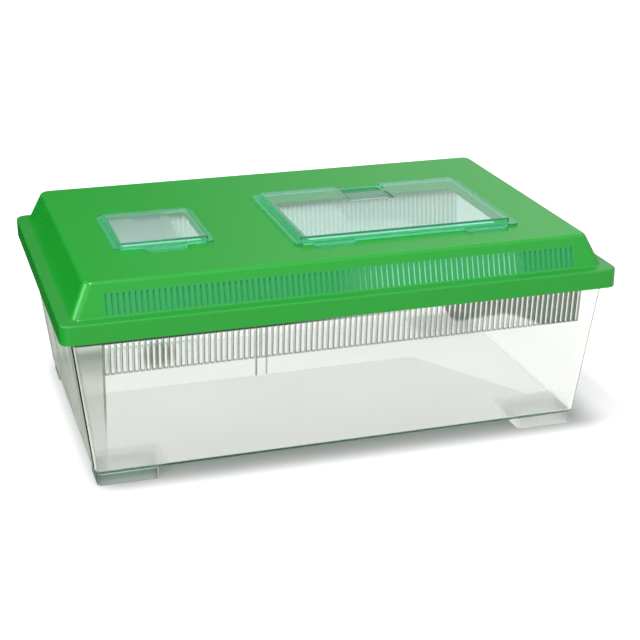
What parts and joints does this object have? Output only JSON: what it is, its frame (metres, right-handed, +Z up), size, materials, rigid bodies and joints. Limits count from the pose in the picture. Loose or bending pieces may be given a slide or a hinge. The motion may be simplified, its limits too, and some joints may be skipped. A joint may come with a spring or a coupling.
{
  "type": "plastic pet keeper",
  "caption": "Low clear tub with a slotted lift-off lid and two hinged clear hatches, for keeping small animals, insects or reptiles.",
  "frame": {"origin": "centre of the keeper's footprint, on the surface its feet stand on", "axes": "+Z up, +X along the length towards the large hatch, -Y towards the front, where the hatches have their hinges"},
  "size_m": [0.46, 0.296, 0.1786],
  "materials": {
    "clear_tub": "clear moulded polystyrene, polished",
    "green_lid": "opaque moulded polypropylene, glossy",
    "clear_hatch": "clear moulded polystyrene with a faint green tint, polished"
  },
  "bodies": {
    "tub": {"tub": "clear_tub"},
    "lid": {"lid": "green_lid"},
    "large_hatch": {"large_hatch": "clear_hatch"},
    "latch": {"large_hatch_latch": "clear_hatch"},
    "small_hatch": {"small_hatch": "clear_hatch"}
  },
  "joints": [
    {"name": "lid_lift_off", "type": "slide", "parent": "tub", "child": "lid", "axis": [0, 0, 1], "range_m": [0, 0.15]},
    {"name": "large_hatch_hinge", "type": "hinge", "parent": "lid", "child": "large_hatch", "pos_m": [0.0665, -0.0973, 0.17], "axis": [1, 0, 0], "range_deg": [0, 110]},
    {"name": "latch_press", "type": "hinge", "parent": "large_hatch", "child": "latch", "pos_m": [0.0635, 0.00315, 0.1772], "axis": [-1, 0, 0], "range_deg": [0, 14], "stiffness_Nm_per_rad": 0.2},
    {"name": "small_hatch_hinge", "type": "hinge", "parent": "lid", "child": "small_hatch", "pos_m": [-0.132, -0.0675, 0.17], "axis": [1, 0, 0], "range_deg": [0, 110]}
  ]
}
